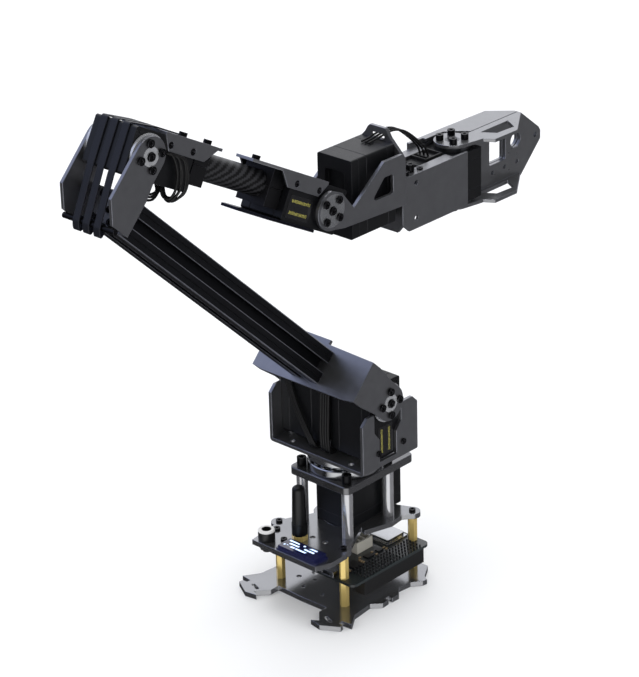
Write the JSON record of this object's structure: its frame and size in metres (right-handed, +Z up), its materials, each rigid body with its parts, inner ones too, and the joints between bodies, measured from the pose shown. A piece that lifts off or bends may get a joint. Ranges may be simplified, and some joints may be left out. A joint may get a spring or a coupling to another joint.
{
  "type": "robot arm",
  "caption": "Desktop robot arm with a turning base, two-part arm, pitching and rolling wrist and a plate gripper.",
  "frame": {"origin": "underside of the base plate, under the axis that the arm turns about", "axes": "+Z up, +X the way the arm reaches, +Y to the arm's left"},
  "size_m": [0.3509, 0.084, 0.3229],
  "materials": {
    "base_sheet": "polished black",
    "brass": "turned",
    "board": "black solder mask",
    "black_plastic": "moulded",
    "white_plastic": "moulded",
    "bright_steel": "turned and bright",
    "top_sheet": "satin black",
    "servo_case": "fine grain",
    "dark_sheet": "dark grey anodised",
    "profile": "black anodised",
    "horn_metal": "turned",
    "screw_steel": "black oxide",
    "antenna_rubber": "matt",
    "band_rubber": "smooth",
    "tube": "woven carbon, clear coat"
  },
  "bodies": {
    "base": {"base_plate": "base_sheet", "lower_posts": "brass", "upper_posts": "brass", "controller_board": "board", "pin_header": "black_plastic", "wire_sockets": "white_plastic", "data_port": "bright_steel", "radio_module": "bright_steel", "deck_plate": "base_sheet", "deck_ring": "bright_steel", "deck_screws": "screw_steel", "steel_columns": "bright_steel", "column_screws": "screw_steel", "display_module": "board", "antenna_socket": "brass", "antenna": "antenna_rubber", "corner_knob": "black_plastic", "base_servo": "servo_case", "top_plate": "top_sheet", "lower_race": "bright_steel", "ring_balls": "bright_steel"},
    "turret": {"upper_race": "bright_steel", "drive_hub": "bright_steel", "shoulder_bracket": "dark_sheet", "bracket_screws": "screw_steel", "shoulder_servo_right": "servo_case", "shoulder_servo_left": "servo_case", "shoulder_leads": "antenna_rubber"},
    "upper_arm": {"shoulder_yoke": "dark_sheet", "shoulder_horns": "horn_metal", "arm_profile": "profile", "elbow_bracket": "dark_sheet", "elbow_horns": "horn_metal", "upper_arm_screws": "screw_steel", "band_pin": "screw_steel", "elastic_bands": "band_rubber"},
    "forearm": {"elbow_servo": "servo_case", "wrist_servo": "servo_case", "elbow_mount": "dark_sheet", "wrist_mount_top": "dark_sheet", "wrist_mount_bottom": "dark_sheet", "elbow_tube_clamp": "dark_sheet", "wrist_tube_clamp": "dark_sheet", "forearm_tube": "tube", "forearm_screws": "screw_steel", "elbow_leads": "antenna_rubber"},
    "wrist": {"wrist_yoke": "dark_sheet", "wrist_horns": "horn_metal", "wrist_screws": "screw_steel", "roll_servo": "servo_case", "roll_cover": "black_plastic"},
    "hand": {"roll_horn": "horn_metal", "gripper_bracket": "dark_sheet", "gripper_servo": "servo_case", "fixed_jaw": "dark_sheet", "gripper_screws": "screw_steel", "hand_leads": "antenna_rubber"},
    "jaw": {"jaw_horns": "horn_metal", "moving_jaw": "dark_sheet", "jaw_screws": "screw_steel"}
  },
  "joints": [
    {"name": "base_pan", "type": "hinge", "parent": "base", "child": "turret", "pos_m": [0, 0, 0.0785], "axis": [0, 0, 1], "range_deg": [-180, 180]},
    {"name": "shoulder", "type": "hinge", "parent": "turret", "child": "upper_arm", "pos_m": [-0.0025, 0, 0.1225], "axis": [0, 1, 0], "range_deg": [-43.7, 100]},
    {"name": "elbow", "type": "hinge", "parent": "upper_arm", "child": "forearm", "pos_m": [-0.15236, 0, 0.30582], "axis": [0, -1, 0], "range_deg": [-5, 180], "deforming": ["elastic_bands"]},
    {"name": "wrist_pitch", "type": "hinge", "parent": "forearm", "child": "wrist", "pos_m": [-0.02457, 0, 0.2373], "axis": [0, 1, 0], "range_deg": [-62, 40]},
    {"name": "wrist_roll", "type": "hinge", "parent": "wrist", "child": "hand", "pos_m": [0.03403, 0, 0.223], "axis": [1, 0, 0], "range_deg": [-180, 180], "deforming": ["hand_leads"]},
    {"name": "jaw", "type": "hinge", "parent": "hand", "child": "jaw", "pos_m": [0.09428, 0, 0.219], "axis": [0, 0, -1], "range_deg": [0, 90]}
  ]
}
